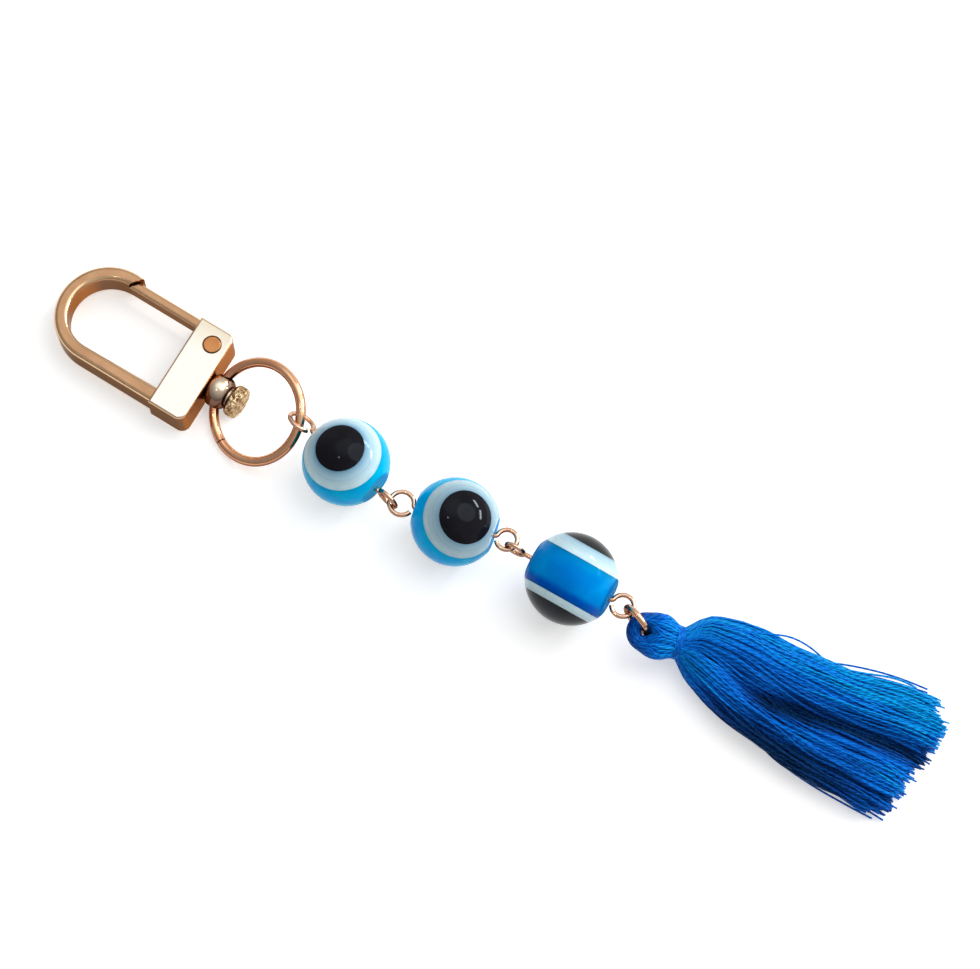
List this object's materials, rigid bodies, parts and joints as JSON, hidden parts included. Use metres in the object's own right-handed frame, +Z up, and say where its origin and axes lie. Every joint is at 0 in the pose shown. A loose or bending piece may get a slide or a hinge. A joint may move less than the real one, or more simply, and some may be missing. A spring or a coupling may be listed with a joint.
{
  "type": "evil eye ornament",
  "caption": "Hanging charm with a swivel snap hook, key ring, layered blue eye beads on looped wire pins and a thread tassel.",
  "frame": {"origin": "on the table, under the middle of the ornament as it lies", "axes": "+X along the chain from the snap hook to the tassel's cut end, +Y towards the hook's gate, +Z up"},
  "size_m": [0.133, 0.0186, 0.0125],
  "materials": {
    "plated_casting": "polished light-gold plating",
    "plated_wire": "polished rose-gold plating",
    "rivet_copper": "satin copper tone",
    "spring_wire": "bright drawn wire",
    "resin_blue": "polished resin",
    "resin_white": "polished resin",
    "resin_pale": "polished resin",
    "resin_black": "polished resin",
    "thread_blue": "twisted silky thread"
  },
  "bodies": {
    "clasp": {"hook_body": "plated_casting", "gate_rivet": "rivet_copper", "gate_spring": "spring_wire"},
    "gate": {"gate_lever": "plated_casting"},
    "swivel": {"swivel_eye": "plated_casting"},
    "ring": {"key_ring": "plated_wire"},
    "pin_1": {"eye_pin_1": "plated_wire"},
    "bead_1": {"bead_1_core": "resin_blue", "bead_1_white_layers": "resin_white", "bead_1_pale_layers": "resin_pale", "bead_1_pupils": "resin_black"},
    "pin_2": {"eye_pin_2": "plated_wire"},
    "bead_2": {"bead_2_core": "resin_blue", "bead_2_white_layers": "resin_white", "bead_2_pale_layers": "resin_pale", "bead_2_pupils": "resin_black"},
    "pin_3": {"eye_pin_3": "plated_wire"},
    "bead_3": {"bead_3_core": "resin_blue", "bead_3_white_layers": "resin_white", "bead_3_pale_layers": "resin_pale", "bead_3_pupils": "resin_black"},
    "jump_ring": {"jump_ring": "plated_wire"},
    "tassel": {"tassel_head": "thread_blue", "tassel_neck_wrap": "thread_blue", "tassel_skirt": "thread_blue"}
  },
  "joints": [
    {"name": "gate_hinge", "type": "hinge", "parent": "clasp", "child": "gate", "pos_m": [-0.04413, 0.00499, 0.0025], "axis": [0, 0, 1], "range_deg": [0, 25], "stiffness_Nm_per_rad": 0.034, "springref_deg": -16.62, "deforming": ["gate_spring"]},
    {"name": "swivel_spin", "type": "hinge", "parent": "clasp", "child": "swivel", "pos_m": [-0.04195, 0.0004, 0.0025], "axis": [0.9981, -0.061, 0], "continuous": true},
    {"name": "ring_swing", "type": "hinge", "parent": "swivel", "child": "ring", "pos_m": [-0.04033, 0.0003, 0.0025], "axis": [0.0544, 0.8893, 0.454], "range_deg": [-85, 85]},
    {"name": "pin_1_swing", "type": "hinge", "parent": "ring", "child": "pin_1", "pos_m": [-0.02766, 0.00089, 0.00646], "axis": [0.2955, -0.8881, -0.352], "range_deg": [-70, 70]},
    {"name": "bead_1_spin", "type": "hinge", "parent": "pin_1", "child": "bead_1", "pos_m": [-0.01925, -0.0012, 0.006], "axis": [0.9703, -0.2419, 0], "continuous": true},
    {"name": "pin_2_swing", "type": "hinge", "parent": "pin_1", "child": "pin_2", "pos_m": [-0.00979, -0.00273, 0.006], "axis": [0, 0, 1], "range_deg": [-75, 55]},
    {"name": "bead_2_spin", "type": "hinge", "parent": "pin_2", "child": "bead_2", "pos_m": [-0.00227, -0.00154, 0.006], "axis": [0.9877, 0.1564, 0], "continuous": true},
    {"name": "pin_3_swing", "type": "hinge", "parent": "pin_2", "child": "pin_3", "pos_m": [0.00669, -0.00109, 0.00625], "axis": [0, 1, 0], "range_deg": [-70, 70]},
    {"name": "bead_3_spin", "type": "hinge", "parent": "pin_3", "child": "bead_3", "pos_m": [0.0152, -0.00109, 0.00625], "axis": [1, 0, 0], "continuous": true},
    {"name": "jump_ring_swing", "type": "hinge", "parent": "pin_3", "child": "jump_ring", "pos_m": [0.02438, -0.00137, 0.00625], "axis": [-0.3746, -0.9272, 0], "range_deg": [-60, 60]},
    {"name": "tassel_swing", "type": "hinge", "parent": "jump_ring", "child": "tassel", "pos_m": [0.0271, -0.00248, 0.00518], "axis": [0.3171, -0.1281, 0.9397], "range_deg": [-90, 20]}
  ]
}
